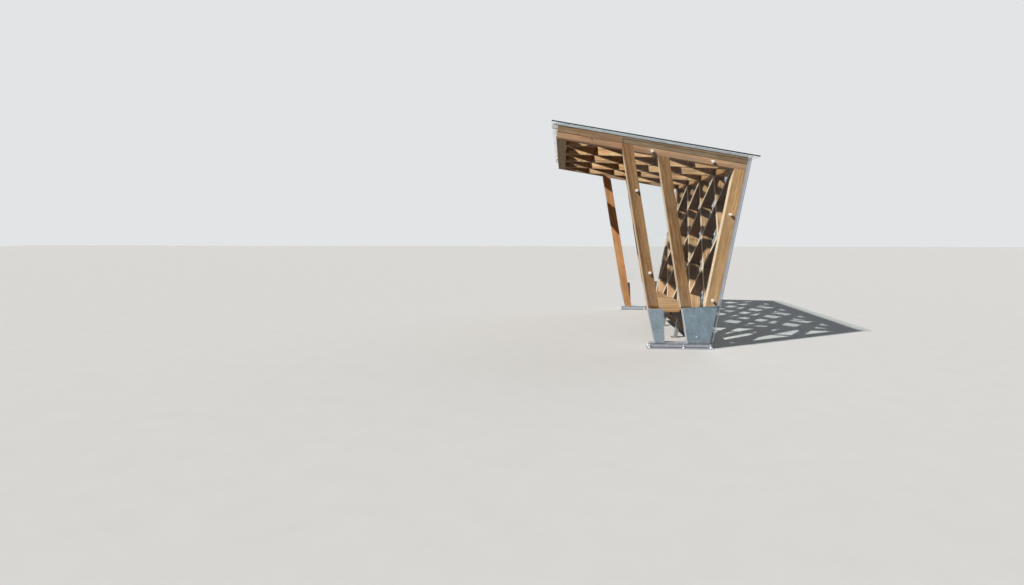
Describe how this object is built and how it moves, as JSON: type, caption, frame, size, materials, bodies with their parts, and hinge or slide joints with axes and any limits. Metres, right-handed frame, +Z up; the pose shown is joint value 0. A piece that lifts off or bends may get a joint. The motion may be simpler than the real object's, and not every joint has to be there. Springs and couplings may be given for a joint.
{
  "type": "bus shelter",
  "caption": "Open-fronted timber bus shelter with a sloping glass roof and leaning glass rear wall on a diamond lattice of planks, slanted end posts on steel feet, and a slatted bench.",
  "frame": {"origin": "on the ground under the middle of the shelter's outline seen from above", "axes": "+X along the shelter to the end nearest the picture's camera, -Y towards the open front and the road, +Z up"},
  "size_m": [5.088, 2.8924, 3.2455],
  "materials": {
    "larch_timber": "oiled",
    "bench_timber": "weathered",
    "galvanised_steel": "dull galvanised",
    "bench_steel": "dull galvanised",
    "profile_aluminium": "satin",
    "fixing_steel": "brushed",
    "pad_rubber": "matt",
    "roof_glass": "clear",
    "rear_glass": "clear",
    "side_glass": "clear"
  },
  "bodies": {
    "root": {"bench_bearers": "bench_timber", "bench_legs": "bench_steel", "bench_seat_slats": "bench_timber", "front_beam": "larch_timber", "front_glass_profile": "profile_aluminium", "left_base_rail": "galvanised_steel", "left_foot_plate": "galvanised_steel", "left_front_post": "larch_timber", "left_front_shoe": "galvanised_steel", "left_glass_fixings": "fixing_steel", "left_middle_post": "larch_timber", "left_rear_post": "larch_timber", "left_roof_beam": "larch_timber", "left_side_glass": "side_glass", "left_verge_board": "larch_timber", "left_verge_profile": "profile_aluminium", "left_wall_profile": "profile_aluminium", "rear_bottom_beam": "larch_timber", "rear_glass_1": "rear_glass", "rear_glass_2": "rear_glass", "rear_glass_3": "rear_glass", "rear_glass_4": "rear_glass", "rear_top_beam": "larch_timber", "right_base_rail": "galvanised_steel", "right_foot_plate": "galvanised_steel", "right_front_post": "larch_timber", "right_front_shoe": "galvanised_steel", "right_glass_fixings": "fixing_steel", "right_middle_post": "larch_timber", "right_rear_post": "larch_timber", "right_roof_beam": "larch_timber", "right_side_glass": "side_glass", "right_verge_board": "larch_timber", "right_verge_profile": "profile_aluminium", "right_wall_profile": "profile_aluminium", "roof_glass_1": "roof_glass", "roof_glass_2": "roof_glass", "roof_glass_3": "roof_glass", "roof_glass_4": "roof_glass", "roof_glass_pads": "pad_rubber", "roof_lattice_cross_planks": "larch_timber", "roof_lattice_forward_planks": "larch_timber", "wall_glass_pads": "pad_rubber", "wall_lattice_cross_planks": "larch_timber", "wall_lattice_forward_planks": "larch_timber"}
  },
  "joints": []
}
